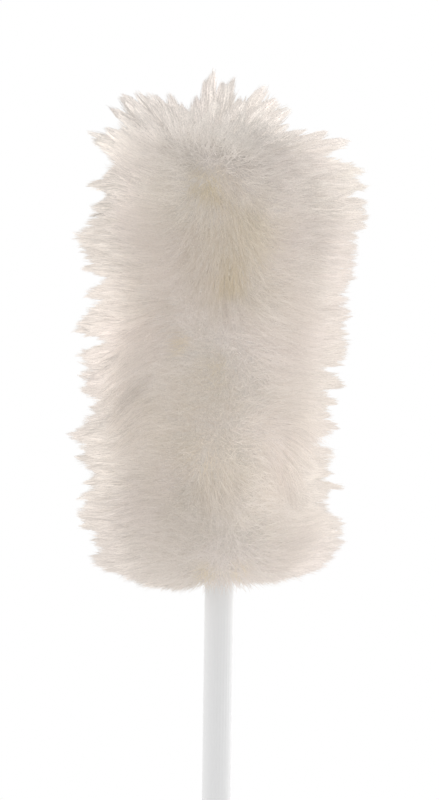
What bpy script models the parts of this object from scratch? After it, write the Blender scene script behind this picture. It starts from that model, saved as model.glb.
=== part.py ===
"""Lambswool extension duster.

A strip of lambskin is wound on a wooden core, and the core is pinned into a coated tube that slides in a wider
tube. A split sleeve inside the wider tube grips it when the upper part is twisted. The duster stands along +Z
with its wool at the top, and the origin is the middle of the flat lower end of the end cap.
"""

import math
import random

import bmesh
import bpy
import numpy as np
from mathutils import Matrix, Vector

MM = 0.001

# Gaps between pieces
PRESS_GAP = 0.15 * MM
RUNNING_GAP = 0.2 * MM
SEAT_GAP = 0.3 * MM

# Outer tube, the lower one that the hand holds
OUTER_TUBE_DIAMETER = 19.0 * MM
OUTER_TUBE_WALL = 0.6 * MM
OUTER_TUBE_LENGTH = 436.0 * MM

# Inner tube, the white one under the wool
INNER_TUBE_DIAMETER = 16.0 * MM
INNER_TUBE_WALL = 0.6 * MM
INNER_TUBE_LENGTH = 432.0 * MM
REST_DRAW = 110.0 * MM
LEAST_OVERLAP = 60.0 * MM

# End cap with its hanging hole
CAP_DIAMETER = 22.0 * MM
CAP_TAB_HEIGHT = 16.0 * MM
CAP_TAB_THICKNESS = 8.0 * MM
CAP_SHOULDER = 4.0 * MM
CAP_SPIGOT_LENGTH = 22.0 * MM
CAP_SPIGOT_WALL = 2.0 * MM
CAP_END_ROUNDING = 6.0 * MM
HANG_HOLE_DIAMETER = 8.0 * MM
HANG_HOLE_HEIGHT = 8.5 * MM

# Moulded grip
GRIP_DIAMETER = 25.0 * MM
GRIP_LENGTH = 124.0 * MM
GRIP_WAIST = 1.0 * MM
GRIP_END_BEVEL = 1.5 * MM
GROOVE_PITCH = 16.0 * MM
GROOVE_WIDTH = 4.0 * MM
GROOVE_DEPTH = 1.0 * MM

# Mouth collar, which guides the inner tube
COLLAR_DIAMETER = 23.0 * MM
COLLAR_LENGTH = 30.0 * MM
COLLAR_LIP = 6.0 * MM
COLLAR_TAPER = 1.2 * MM
COLLAR_BEVEL = 1.0 * MM
FLUTE_COUNT = 12
FLUTE_DIAMETER = 2.4 * MM
FLUTE_DEPTH = 0.6 * MM
FLUTE_MARGIN = 5.0 * MM

# Lock plug with its stud
PLUG_DEPTH = 20.0 * MM
PLUG_FLANGE = 2.5 * MM
PLUG_GROOVE_DEPTH = 0.6 * MM
PLUG_GROOVE_WIDTH = 3.0 * MM
PLUG_GROOVE_HEIGHT = 11.5 * MM
STUD_DIAMETER = 6.0 * MM
STUD_LENGTH = 27.0 * MM

# Split sleeve that spreads against the outer tube
SLEEVE_LENGTH = 25.0 * MM
SLEEVE_WEB = 4.0 * MM
SLEEVE_CONE_TOP = 10.8 * MM
SLEEVE_CONE_BOTTOM = 14.8 * MM
SLOT_COUNT = 4
SLOT_WIDTH = 1.6 * MM
BITE_COUNT = 3
BITE_PITCH = 4.5 * MM
BITE_WIDTH = 1.6 * MM
BITE_DEPTH = 0.4 * MM

# Cone nut that is drawn into the sleeve
NUT_LENGTH = 11.0 * MM
NUT_DROP = 5.0 * MM
KEY_WIDTH = 1.1 * MM
KEY_LENGTH = 8.0 * MM
LOCK_PITCH = 3.0 * MM
LOCK_TURN = 270.0

# End stop of the stud
WASHER_DIAMETER = 10.0 * MM
WASHER_THICKNESS = 1.0 * MM
STOP_SCREW_DIAMETER = 2.8 * MM
STOP_SCREW_LENGTH = 10.0 * MM
STOP_HEAD_DIAMETER = 5.8 * MM
STOP_HEAD_HEIGHT = 2.2 * MM
CLOSED_GAP = 5.0 * MM

# Wooden core of the head
CORE_DIAMETER = 16.0 * MM
CORE_SPIGOT_LENGTH = 42.0 * MM
CORE_CHAMFER = 1.0 * MM
TUBE_COVER = 30.0 * MM

# Rivet through tube and core
RIVET_DIAMETER = 3.0 * MM
RIVET_HEAD_DIAMETER = 5.6 * MM
RIVET_HEAD_HEIGHT = 0.9 * MM
RIVET_DROP = 12.0 * MM

# Lambskin
HIDE_THICKNESS = 2.0 * MM
STRIP_WIDTH = 35.0 * MM
STRIP_GAP = 2.0 * MM
STRIP_STEPS = 24
TACK_HEAD_DIAMETER = 4.4 * MM
TACK_HEAD_HEIGHT = 0.8 * MM
TACK_SHANK_DIAMETER = 1.4 * MM
TACK_SHANK_LENGTH = 6.0 * MM
TACK_SINK = 1.3 * MM

# Wool
HEAD_LENGTH = 284.0 * MM
HEAD_BREADTH = 126.0 * MM
CROWN_PILE = 68.0 * MM
CROWN_SHARE = 0.86
WOOL_NECK = 7.0 * MM
WOOL_LEAN = 8.0 * MM
WOOL_LEAN_SHARE = 0.27
WOOL_LEAN_SPREAD = 0.15
LOCK_RISE = 19.0 * MM
LOCK_SINK = 6.0 * MM
LOCK_FADE = 33.0 * MM
LEAST_RISE_SHARE = 0.45
LOCK_ROWS = 3
LOCK_COLUMNS = 3
WOOL_ROW = 7.4 * MM
CROWN_ROW = 6.0 * MM
ROW_MATCH = 0.1 * MM
UNDER_EDGE_RISE = 2.3 * MM
CROWN_SEAM = 0.9 * MM
CREST_LEAN = 7.0 * MM
CREST_FOOT = 17.0 * MM
CREST_DEPTH = 45.0 * MM
WOOL_STEPS = 54
WOOL_SEED = 5

# Outline of the wool, as shares of the head's length and of its half breadth
WOOL_OUTLINE = (
    (0.00, 0.40),
    (0.01, 0.64),
    (0.022, 0.79),
    (0.045, 0.88),
    (0.09, 0.93),
    (0.20, 0.94),
    (0.36, 0.94),
    (0.55, 0.98),
    (0.70, 1.06),
    (0.80, 1.02),
    (0.86, 0.88),
    (0.895, 0.72),
    (0.915, 0.48),
    (0.927, 0.20),
    (0.93, 0.00),
)

# Tufts and hollows of the crest from the front: degrees up from the right, and the reach from the middle of
# the crest as a share of the half breadth
CREST = (
    (10, 1.05),
    (17, 1.14),
    (24, 0.93),
    (33, 0.77),
    (40, 0.83),
    (50, 0.86),
    (59, 0.88),
    (71, 0.70),
    (80, 0.84),
    (92, 0.88),
    (106, 0.58),
    (121, 0.74),
    (134, 0.96),
    (147, 1.08),
    (154, 0.94),
    (162, 1.10),
    (170, 0.96),
)

ROUND_STEPS = 28
SMALL_STEPS = 14
CUT_OVERRUN = 1.0 * MM
SHARP_EDGE = math.radians(35)

# Radii that several pieces share
outer_radius = OUTER_TUBE_DIAMETER / 2
outer_bore = outer_radius - OUTER_TUBE_WALL
inner_radius = INNER_TUBE_DIAMETER / 2
inner_bore = inner_radius - INNER_TUBE_WALL
stud_radius = STUD_DIAMETER / 2
core_radius = CORE_DIAMETER / 2
hide_inside = max(core_radius, inner_radius) + SEAT_GAP
hide_outside = hide_inside + HIDE_THICKNESS
wool_bore = hide_outside + SEAT_GAP + PRESS_GAP

# Heights of the handle, from its lower end up
cap_shoulder_top = CAP_TAB_HEIGHT + CAP_SHOULDER
cap_spigot_top = cap_shoulder_top + CAP_SPIGOT_LENGTH
outer_bottom = cap_shoulder_top + SEAT_GAP
outer_top = outer_bottom + OUTER_TUBE_LENGTH
collar_top = outer_top + COLLAR_LIP
collar_bottom = collar_top - COLLAR_LENGTH
grip_bottom = cap_shoulder_top + SEAT_GAP
grip_top = grip_bottom + GRIP_LENGTH

# Heights of the lock and of the upper part, drawn out by REST_DRAW
stop_head_bottom = cap_spigot_top + CLOSED_GAP + REST_DRAW
washer_bottom = stop_head_bottom + STOP_HEAD_HEIGHT + SEAT_GAP
stud_bottom = washer_bottom + WASHER_THICKNESS + SEAT_GAP
flange_bottom = stud_bottom + STUD_LENGTH
flange_top = flange_bottom + PLUG_FLANGE
inner_bottom = flange_top + SEAT_GAP
inner_top = inner_bottom + INNER_TUBE_LENGTH
sleeve_top = flange_bottom - SEAT_GAP
sleeve_bottom = sleeve_top - SLEEVE_LENGTH
cone_top = sleeve_top - SLEEVE_WEB
nut_top = cone_top - NUT_DROP
nut_bottom = nut_top - NUT_LENGTH

# Heights of the head
head_bottom = inner_top - TUBE_COVER
head_top = head_bottom + HEAD_LENGTH
core_shoulder = inner_top + SEAT_GAP
core_top = head_top - CROWN_PILE
strip_bottom = core_shoulder + SEAT_GAP
strip_pitch = STRIP_WIDTH + STRIP_GAP
crown_hide_bottom = core_top + SEAT_GAP
crown_hide_top = crown_hide_bottom + HIDE_THICKNESS
crown_wool_bottom = crown_hide_top + SEAT_GAP
crown_edge = head_bottom + CROWN_SHARE * HEAD_LENGTH
rivet_height = inner_top - RIVET_DROP

for leftover in list(bpy.data.objects):
    bpy.data.objects.remove(leftover, do_unlink=True)

duster = bpy.data.collections.new("lambswool_duster")
tools = bpy.data.collections.new("cutters")
bpy.context.scene.collection.children.link(duster)
bpy.context.scene.collection.children.link(tools)


def new_material(name, colour, roughness, metallic=0.0):
    material = bpy.data.materials.new(name)
    material.use_nodes = True
    shader = material.node_tree.nodes["Principled BSDF"]
    shader.inputs["Base Color"].default_value = (*colour, 1.0)
    shader.inputs["Roughness"].default_value = roughness
    shader.inputs["Metallic"].default_value = metallic
    material.diffuse_color = (*colour, 1.0)
    return material


white_coating = new_material("white_coating", (0.86, 0.86, 0.85), 0.35)
white_plastic = new_material("white_plastic", (0.80, 0.80, 0.78), 0.45)
grey_plastic = new_material("grey_plastic", (0.34, 0.35, 0.36), 0.5)
bright_steel = new_material("bright_steel", (0.72, 0.72, 0.73), 0.3, 1.0)
beech = new_material("beech", (0.66, 0.50, 0.33), 0.65)
lambskin = new_material("lambskin", (0.80, 0.70, 0.54), 0.8)
lambswool = new_material("lambswool", (0.78, 0.73, 0.66), 0.95)


def new_frame(name, height):
    """An empty on the duster's axis, which carries the pieces of one moving body."""
    frame = bpy.data.objects.new(name, None)
    frame.location = (0.0, 0.0, height)
    frame.empty_display_size = 0.03
    duster.objects.link(frame)
    return frame


handle_frame = new_frame("handle_frame", 0.0)
sleeve_frame = new_frame("sleeve_frame", sleeve_top)
nut_frame = new_frame("nut_frame", nut_top)
mast_frame = new_frame("mast_frame", inner_bottom)


def add_piece(name, mesh, material, frame, matrix=None):
    """A named piece in its material, placed in the world and then hung on its body's frame."""
    piece = bpy.data.objects.new(name, mesh)
    mesh.name = name
    mesh.materials.clear()
    mesh.materials.append(material)
    piece.matrix_world = matrix or Matrix()
    duster.objects.link(piece)
    piece.parent = frame
    piece.matrix_parent_inverse = Matrix.Translation(frame.location).inverted()
    return piece


def add_cutter(name, mesh, matrix=None):
    cutter = bpy.data.objects.new(name, mesh)
    cutter.matrix_world = matrix or Matrix()
    cutter.hide_render = True
    cutter.display_type = "WIRE"
    tools.objects.link(cutter)
    return cutter


def join(piece, tool, operation):
    """Cuts a piece with a tool, adds the tool to it or keeps what lies in the tool."""
    boolean = piece.modifiers.new(f"{operation.lower()}_{tool.name}", "BOOLEAN")
    boolean.operation = operation
    boolean.object = tool


def turned(profile, ring=False, steps=ROUND_STEPS):
    """A mesh turned round the axis from (radius, height) points that run down the outer side. A ring's profile
    is closed, and any other starts and ends on the axis."""
    line = bpy.data.meshes.new("profile")
    count = len(profile)
    ends = [(i, (i + 1) % count) for i in range(count if ring else count - 1)]
    line.from_pydata([(radius, 0.0, height) for radius, height in profile], ends, [])
    lathe = bpy.data.objects.new("lathe", line)
    duster.objects.link(lathe)
    screw = lathe.modifiers.new("turn", "SCREW")
    screw.axis = "Z"
    screw.angle = 2 * math.pi
    screw.steps = steps
    screw.render_steps = steps
    screw.use_merge_vertices = True
    screw.merge_threshold = 0.00001
    graph = bpy.context.evaluated_depsgraph_get()
    mesh = bpy.data.meshes.new_from_object(lathe.evaluated_get(graph))
    bpy.data.objects.remove(lathe, do_unlink=True)
    bpy.data.meshes.remove(line)
    mesh.shade_smooth()
    mesh.set_sharp_from_angle(angle=SHARP_EDGE)
    return mesh


def boxes(low, high, count=1):
    """A mesh of equal boxes, the first from low to high, spaced evenly round the axis."""
    low, high = Vector(low), Vector(high)
    shape = bmesh.new()
    for number in range(count):
        place = (
            Matrix.Rotation(2 * math.pi * number / count, 4, "Z")
            @ Matrix.Translation((low + high) / 2)
            @ Matrix.Diagonal((*(high - low), 1.0))
        )
        bmesh.ops.create_cube(shape, size=1.0, matrix=place)
    mesh = bpy.data.meshes.new("boxes")
    shape.to_mesh(mesh)
    shape.free()
    return mesh


def rods(radius, length, centre, count=1, steps=SMALL_STEPS, turn=None):
    """A mesh of equal upright rods, the first at centre, spaced evenly round the axis. A turn lays it over."""
    shape = bmesh.new()
    for number in range(count):
        place = (
            Matrix.Rotation(2 * math.pi * number / count, 4, "Z")
            @ Matrix.Translation(centre)
            @ (turn or Matrix())
        )
        bmesh.ops.create_cone(
            shape,
            cap_ends=True,
            segments=steps,
            radius1=radius,
            radius2=radius,
            depth=length,
            matrix=place,
        )
    mesh = bpy.data.meshes.new("rods")
    shape.to_mesh(mesh)
    shape.free()
    return mesh


def arc(centre, radius, start, end, points=5):
    """Points of a quarter or less of a circle in a profile, from one angle in degrees to another."""
    angles = np.radians(np.linspace(start, end, points))
    return [(centre[0] + radius * math.cos(a), centre[1] + radius * math.sin(a)) for a in angles]


# End cap: one moulding, a spigot pressed into the tube and a flat tab with a hole to hang it by
cap_radius = CAP_DIAMETER / 2
spigot_radius = outer_bore - PRESS_GAP
spigot_chamfer = CAP_SPIGOT_WALL / 2
end_cap = add_piece(
    "end_cap",
    turned(
        [
            (0.0, cap_shoulder_top),
            (spigot_radius - CAP_SPIGOT_WALL, cap_shoulder_top),
            (spigot_radius - CAP_SPIGOT_WALL, cap_spigot_top),
            (spigot_radius - spigot_chamfer, cap_spigot_top),
            (spigot_radius, cap_spigot_top - spigot_chamfer),
            (spigot_radius, cap_shoulder_top),
            (cap_radius, cap_shoulder_top),
            *arc((cap_radius - CAP_END_ROUNDING, CAP_END_ROUNDING), CAP_END_ROUNDING, 0, -90),
            (0.0, 0.0),
        ]
    ),
    white_plastic,
    handle_frame,
)
for side in (-1, 1):
    faces = sorted((side * CAP_TAB_THICKNESS / 2, side * (cap_radius + CUT_OVERRUN)))
    flat = boxes(
        (-cap_radius - CUT_OVERRUN, faces[0], -CUT_OVERRUN),
        (cap_radius + CUT_OVERRUN, faces[1], CAP_TAB_HEIGHT),
    )
    join(end_cap, add_cutter(f"tab_flat_{'front' if side < 0 else 'back'}", flat), "DIFFERENCE")
hang_hole = rods(
    HANG_HOLE_DIAMETER / 2,
    CAP_TAB_THICKNESS + 2 * CUT_OVERRUN,
    (0.0, 0.0, HANG_HOLE_HEIGHT),
    turn=Matrix.Rotation(math.pi / 2, 4, "X"),
)
join(end_cap, add_cutter("hang_hole", hang_hole), "DIFFERENCE")

# Outer tube: coated steel, cut square
outer_tube = add_piece(
    "outer_tube",
    turned(
        [
            (outer_radius, outer_top),
            (outer_radius, outer_bottom),
            (outer_bore, outer_bottom),
            (outer_bore, outer_top),
        ],
        ring=True,
    ),
    white_coating,
    handle_frame,
)


def grip_profile():
    """Outer side of the grip, waisted and grooved, and its bore."""
    bore = outer_radius + PRESS_GAP
    radius = GRIP_DIAMETER / 2

    def reach(height):
        return radius - GRIP_WAIST * math.sin(math.pi * (height - grip_bottom) / GRIP_LENGTH)

    points = [(radius - GRIP_END_BEVEL, grip_top), (radius, grip_top - GRIP_END_BEVEL)]
    room = GRIP_LENGTH - 2 * GRIP_END_BEVEL - GROOVE_PITCH
    grooves = max(int(room / GROOVE_PITCH) + 1, 1)
    middle = (grip_bottom + grip_top) / 2
    for number in range(grooves):
        height = middle + ((grooves - 1) / 2 - number) * GROOVE_PITCH
        for step, depth in ((0.5, 0.0), (0.0, GROOVE_DEPTH), (-0.5, 0.0)):
            edge = height + step * GROOVE_WIDTH
            points.append((reach(edge) - depth, edge))
    points += [(radius, grip_bottom + GRIP_END_BEVEL), (radius - GRIP_END_BEVEL, grip_bottom)]
    return points + [(bore, grip_bottom), (bore, grip_top)]


grip = add_piece("grip", turned(grip_profile(), ring=True), grey_plastic, handle_frame)

# Mouth collar: a fluted moulding pressed over the tube, whose lip guides the inner tube
collar_radius = COLLAR_DIAMETER / 2
collar_neck = collar_radius - COLLAR_TAPER
collar_bore = outer_radius + PRESS_GAP
lip_bore = inner_radius + RUNNING_GAP
mouth_collar = add_piece(
    "mouth_collar",
    turned(
        [
            (collar_neck - COLLAR_BEVEL, collar_top),
            (collar_neck, collar_top - COLLAR_BEVEL),
            (collar_radius, collar_bottom + FLUTE_MARGIN),
            (collar_radius, collar_bottom + COLLAR_BEVEL / 2),
            (collar_radius - COLLAR_BEVEL / 2, collar_bottom),
            (collar_bore, collar_bottom),
            (collar_bore, outer_top + SEAT_GAP),
            (lip_bore, outer_top + SEAT_GAP),
            (lip_bore, collar_top - COLLAR_BEVEL),
            (lip_bore + COLLAR_BEVEL, collar_top),
        ],
        ring=True,
    ),
    grey_plastic,
    handle_frame,
)
flute_lean = math.atan2(COLLAR_TAPER, COLLAR_LENGTH - FLUTE_MARGIN - COLLAR_BEVEL)
flute_reach = (collar_radius + collar_neck) / 2 + FLUTE_DIAMETER / 2 - FLUTE_DEPTH
flutes = rods(
    FLUTE_DIAMETER / 2,
    COLLAR_LENGTH - 2 * FLUTE_MARGIN,
    (flute_reach, 0.0, (collar_top + collar_bottom) / 2),
    count=FLUTE_COUNT,
    steps=12,
    turn=Matrix.Rotation(-flute_lean, 4, "Y"),
)
join(mouth_collar, add_cutter("flutes", flutes), "DIFFERENCE")

# Inner tube: coated steel, drilled across for the rivet
inner_tube = add_piece(
    "inner_tube",
    turned(
        [
            (inner_radius, inner_top),
            (inner_radius, inner_bottom),
            (inner_bore, inner_bottom),
            (inner_bore, inner_top),
        ],
        ring=True,
    ),
    white_coating,
    mast_frame,
)

# Lock plug: moulded, pressed into the lower end of the inner tube, with the stud below its flange
plug_radius = inner_bore - PRESS_GAP
flange_radius = outer_bore - SEAT_GAP
plug_top = flange_top + PLUG_DEPTH
groove_top = flange_top + PLUG_GROOVE_HEIGHT + PLUG_GROOVE_WIDTH / 2
groove_bottom = groove_top - PLUG_GROOVE_WIDTH
screw_hole = STOP_SCREW_DIAMETER / 2 + RUNNING_GAP
screw_hole_top = stud_bottom + STOP_SCREW_LENGTH
lock_plug = add_piece(
    "lock_plug",
    turned(
        [
            (0.0, plug_top),
            (plug_radius - PLUG_GROOVE_DEPTH, plug_top),
            (plug_radius, plug_top - PLUG_GROOVE_DEPTH),
            (plug_radius, groove_top),
            (plug_radius - PLUG_GROOVE_DEPTH, groove_top - PLUG_GROOVE_DEPTH),
            (plug_radius - PLUG_GROOVE_DEPTH, groove_bottom + PLUG_GROOVE_DEPTH),
            (plug_radius, groove_bottom),
            (plug_radius, flange_top),
            (flange_radius, flange_top),
            (flange_radius, flange_bottom),
            (stud_radius, flange_bottom),
            (stud_radius, stud_bottom),
            (screw_hole, stud_bottom),
            (screw_hole, screw_hole_top),
            (0.0, screw_hole_top),
        ]
    ),
    grey_plastic,
    mast_frame,
)

# Lock sleeve: split into fingers below a whole web, coned inside, grooved outside to bite
sleeve_radius = outer_bore - RUNNING_GAP
cone_wide = SLEEVE_CONE_BOTTOM / 2
cone_narrow = SLEEVE_CONE_TOP / 2


def sleeve_profile():
    """Outer side of the sleeve, with rings that bite, and its web and cone."""
    points = [(sleeve_radius - BITE_DEPTH, sleeve_top), (sleeve_radius, sleeve_top - BITE_DEPTH)]
    for number in range(BITE_COUNT):
        height = cone_top - (number + 1) * BITE_PITCH
        points += [(sleeve_radius, height + BITE_WIDTH / 2), (sleeve_radius - BITE_DEPTH, height)]
        points += [(sleeve_radius, height - BITE_WIDTH / 2)]
    web_bore = stud_radius + RUNNING_GAP
    points += [(sleeve_radius, sleeve_bottom), (cone_wide, sleeve_bottom)]
    return points + [(cone_narrow, cone_top), (web_bore, cone_top), (web_bore, sleeve_top)]


lock_sleeve = add_piece(
    "lock_sleeve", turned(sleeve_profile(), ring=True), white_plastic, sleeve_frame
)
slots = boxes(
    (stud_radius / 2, -SLOT_WIDTH / 2, sleeve_bottom - CUT_OVERRUN),
    (sleeve_radius + CUT_OVERRUN, SLOT_WIDTH / 2, cone_top),
    count=SLOT_COUNT,
)
join(lock_sleeve, add_cutter("sleeve_slots", slots), "DIFFERENCE")


def cone_radius(height):
    """Inside radius of the sleeve's cone at a height."""
    return cone_narrow + (cone_wide - cone_narrow) * (cone_top - height) / (cone_top - sleeve_bottom)


# Draw nut: a cone round the stud, whose keys run in the sleeve's slots so that it can't turn with the stud
nut_bore = stud_radius + RUNNING_GAP
key_reach = sleeve_radius - 2 * RUNNING_GAP
draw_nut = add_piece(
    "draw_nut",
    turned(
        [
            (cone_radius(nut_top) - RUNNING_GAP, nut_top),
            (cone_radius(nut_bottom) - RUNNING_GAP, nut_bottom),
            (nut_bore, nut_bottom),
            (nut_bore, nut_top),
        ],
        ring=True,
    ),
    grey_plastic,
    nut_frame,
)
keys = boxes(
    ((nut_bore + cone_narrow) / 2, -KEY_WIDTH / 2, nut_bottom + RUNNING_GAP),
    (key_reach, KEY_WIDTH / 2, nut_bottom + RUNNING_GAP + KEY_LENGTH),
    count=2,
)
join(draw_nut, add_cutter("nut_keys", keys), "UNION")

# Stop washer and its screw, which keep the nut on the stud
washer_bore = STOP_SCREW_DIAMETER / 2 + RUNNING_GAP
stop_washer = add_piece(
    "stop_washer",
    turned(
        [
            (WASHER_DIAMETER / 2, washer_bottom + WASHER_THICKNESS),
            (WASHER_DIAMETER / 2, washer_bottom),
            (washer_bore, washer_bottom),
            (washer_bore, washer_bottom + WASHER_THICKNESS),
        ],
        ring=True,
        steps=SMALL_STEPS,
    ),
    bright_steel,
    mast_frame,
)


def headed_pin(head_radius, head_height, shank_radius, shank_length, seat):
    """Profile of a screw or tack that points down, with the underside of its domed head at the seat's height."""
    dome = [
        (head_radius * math.sin(a), seat + head_height * math.cos(a))
        for a in np.radians((0, 30, 60, 90))
    ]
    tip = seat - shank_length
    shank = [(shank_radius, seat), (shank_radius, tip + shank_radius), (0.0, tip)]
    return dome + shank


stop_screw = add_piece(
    "stop_screw",
    turned(
        headed_pin(
            STOP_HEAD_DIAMETER / 2,
            STOP_HEAD_HEIGHT,
            STOP_SCREW_DIAMETER / 2,
            STOP_SCREW_LENGTH,
            0.0,
        ),
        steps=SMALL_STEPS,
    ),
    bright_steel,
    mast_frame,
    Matrix.Translation((0.0, 0.0, washer_bottom - SEAT_GAP)) @ Matrix.Rotation(math.pi, 4, "X"),
)

# Head core: a turned beech dowel with its lower end reduced to fit the tube
core_spigot_radius = inner_bore - PRESS_GAP
core_bottom = inner_top - CORE_SPIGOT_LENGTH
head_core = add_piece(
    "head_core",
    turned(
        [
            (0.0, core_top),
            (core_radius - CORE_CHAMFER, core_top),
            (core_radius, core_top - CORE_CHAMFER),
            (core_radius, core_shoulder),
            (core_spigot_radius, core_shoulder),
            (core_spigot_radius, core_bottom + CORE_CHAMFER),
            (core_spigot_radius - CORE_CHAMFER, core_bottom),
            (0.0, core_bottom),
        ]
    ),
    beech,
    mast_frame,
)

# Core rivet: steel, through tube and dowel, with a low head on both sides
rivet_radius = RIVET_DIAMETER / 2
rivet_seat = inner_radius + SEAT_GAP
rivet_head = RIVET_HEAD_DIAMETER / 2
rivet_dome = [
    (rivet_head * math.sin(a), rivet_seat + RIVET_HEAD_HEIGHT * math.cos(a))
    for a in np.radians((0, 30, 60, 90))
]
across = Matrix.Translation((0.0, 0.0, rivet_height)) @ Matrix.Rotation(math.pi / 2, 4, "Y")
core_rivet = add_piece(
    "core_rivet",
    turned(
        [
            *rivet_dome,
            (rivet_radius, rivet_seat),
            (rivet_radius, -rivet_seat),
            *[(radius, -height) for radius, height in reversed(rivet_dome)],
        ],
        steps=SMALL_STEPS,
    ),
    bright_steel,
    mast_frame,
    across,
)
rivet_hole = add_cutter(
    "rivet_hole",
    rods(rivet_radius + RUNNING_GAP, INNER_TUBE_DIAMETER + 2 * CUT_OVERRUN, (0.0, 0.0, 0.0)),
    across,
)
join(inner_tube, rivet_hole, "DIFFERENCE")
join(head_core, rivet_hole, "DIFFERENCE")


def wound_strip():
    """Flat band wound up the core one turn beside the next, a surface with its thickness added outwards."""
    line = bpy.data.meshes.new("band")
    line.from_pydata([(hide_inside, 0.0, STRIP_WIDTH), (hide_inside, 0.0, 0.0)], [(0, 1)], [])
    band = bpy.data.objects.new("band", line)
    duster.objects.link(band)
    turns = math.ceil((core_top - strip_bottom + STRIP_WIDTH) / strip_pitch) + 1
    screw = band.modifiers.new("wind", "SCREW")
    screw.axis = "Z"
    screw.angle = 2 * math.pi
    screw.screw_offset = strip_pitch
    screw.iterations = turns
    screw.steps = STRIP_STEPS
    screw.render_steps = STRIP_STEPS
    shell = band.modifiers.new("thicken", "SOLIDIFY")
    shell.thickness = HIDE_THICKNESS
    shell.offset = 1.0
    graph = bpy.context.evaluated_depsgraph_get()
    mesh = bpy.data.meshes.new_from_object(band.evaluated_get(graph))
    bpy.data.objects.remove(band, do_unlink=True)
    bpy.data.meshes.remove(line)
    mesh.shade_smooth()
    mesh.set_sharp_from_angle(angle=SHARP_EDGE)
    return mesh


# Hide strip: one long strip of lambskin, wound up the core and trimmed square at both ends
wind_start = strip_bottom - STRIP_WIDTH
hide_strip = add_piece(
    "hide_strip",
    wound_strip(),
    lambskin,
    mast_frame,
    Matrix.Translation((0.0, 0.0, wind_start)),
)
trim = rods(
    hide_outside + CUT_OVERRUN,
    core_top - strip_bottom,
    (0.0, 0.0, (core_top + strip_bottom) / 2),
    steps=ROUND_STEPS,
)
join(hide_strip, add_cutter("strip_trim", trim), "INTERSECT")

# Hide crown: a round patch of the same skin over the end of the core
crown_hide = hide_outside
rim = HIDE_THICKNESS / 2
hide_crown = add_piece(
    "hide_crown",
    turned(
        [
            (0.0, crown_hide_top),
            (crown_hide - rim, crown_hide_top),
            *arc((crown_hide - rim, crown_hide_bottom + rim), rim, 60, -60, points=3),
            (crown_hide - rim, crown_hide_bottom),
            (0.0, crown_hide_bottom),
        ]
    ),
    lambskin,
    mast_frame,
)

# Tacks: domed steel tacks that hold the skin, each sunk into its thickness
tack_profile = headed_pin(
    TACK_HEAD_DIAMETER / 2,
    TACK_HEAD_HEIGHT,
    TACK_SHANK_DIAMETER / 2,
    TACK_SHANK_LENGTH,
    0.0,
)
tack_room = [
    (0.0, TACK_SINK + CUT_OVERRUN),
    (TACK_HEAD_DIAMETER / 2 + SEAT_GAP, TACK_SINK + CUT_OVERRUN),
    (TACK_HEAD_DIAMETER / 2 + SEAT_GAP, -PRESS_GAP),
    (TACK_SHANK_DIAMETER / 2 + PRESS_GAP, -PRESS_GAP),
    (TACK_SHANK_DIAMETER / 2 + PRESS_GAP, -TACK_SHANK_LENGTH - SEAT_GAP),
    (0.0, -TACK_SHANK_LENGTH - SEAT_GAP),
]


def add_tack(name, place, skin):
    """A tack at a place whose +Z points out of the skin, with room cut for it in the skin and the core."""
    add_piece(name, turned(tack_profile, steps=SMALL_STEPS), bright_steel, mast_frame, place)
    room = add_cutter(f"{name}_room", turned(tack_room, steps=SMALL_STEPS), place)
    join(skin, room, "DIFFERENCE")
    join(head_core, room, "DIFFERENCE")


def on_strip(height):
    """Place on the middle of the wound strip at a height, with +Z pointing out from the axis."""
    angle = 2 * math.pi * (height - STRIP_WIDTH / 2 - wind_start) / strip_pitch
    return (
        Matrix.Translation((0.0, 0.0, height))
        @ Matrix.Rotation(angle, 4, "Z")
        @ Matrix.Rotation(math.pi / 2, 4, "Y")
        @ Matrix.Translation((0.0, 0.0, hide_outside - TACK_SINK))
    )


add_tack("strip_tack_low", on_strip(strip_bottom + STRIP_WIDTH / 2), hide_strip)
add_tack("strip_tack_high", on_strip(core_top - STRIP_WIDTH / 2), hide_strip)
add_tack(
    "crown_tack", Matrix.Translation((0.0, 0.0, crown_hide_top - TACK_SINK)), hide_crown
)


def spaced(points, spacing):
    """Points a spacing apart, as near as fits, along the line through the given points."""
    points = np.array(points)
    lengths = np.hypot(*np.diff(points, axis=0).T)
    along = np.concatenate([[0.0], np.cumsum(lengths)])
    places = np.linspace(0.0, along[-1], max(round(along[-1] / spacing), 1) + 1)
    return np.stack([np.interp(places, along, axis) for axis in points.T], axis=1)


def wool_reach(share):
    """Mean reach of the wool from the middle of the head, at a share of its length."""
    shares, reaches = zip(*WOOL_OUTLINE)
    return HEAD_BREADTH / 2 * float(np.interp(share, shares, reaches))


def outline_between(low, high):
    """Points of the wool's outline from one share of the head's length to another."""
    shares = [low, *[share for share, _ in WOOL_OUTLINE if low < share < high], high]
    return [(wool_reach(share), head_bottom + share * HEAD_LENGTH) for share in shares]


def lock_heights(rows, columns, chance):
    """How far each point of a grid stands out: one pointed lock in each cell, at a point chosen by chance."""
    heights = np.zeros((rows, columns))
    for first_row in range(0, rows, LOCK_ROWS):
        for first_column in range(0, columns, LOCK_COLUMNS):
            row = first_row + chance.randrange(LOCK_ROWS)
            column = first_column + chance.randrange(LOCK_COLUMNS)
            rise = LOCK_RISE * chance.uniform(LEAST_RISE_SHARE, 1.0)
            for down in (-1, 0, 1):
                for over in (-1, 0, 1):
                    if not 0 <= row + down < rows:
                        continue
                    fall = 1.0 - 0.5 * math.hypot(down, over)
                    place = (row + down, (column + over) % columns)
                    heights[place] = max(heights[place], rise * fall)
    return heights - LOCK_SINK


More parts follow.
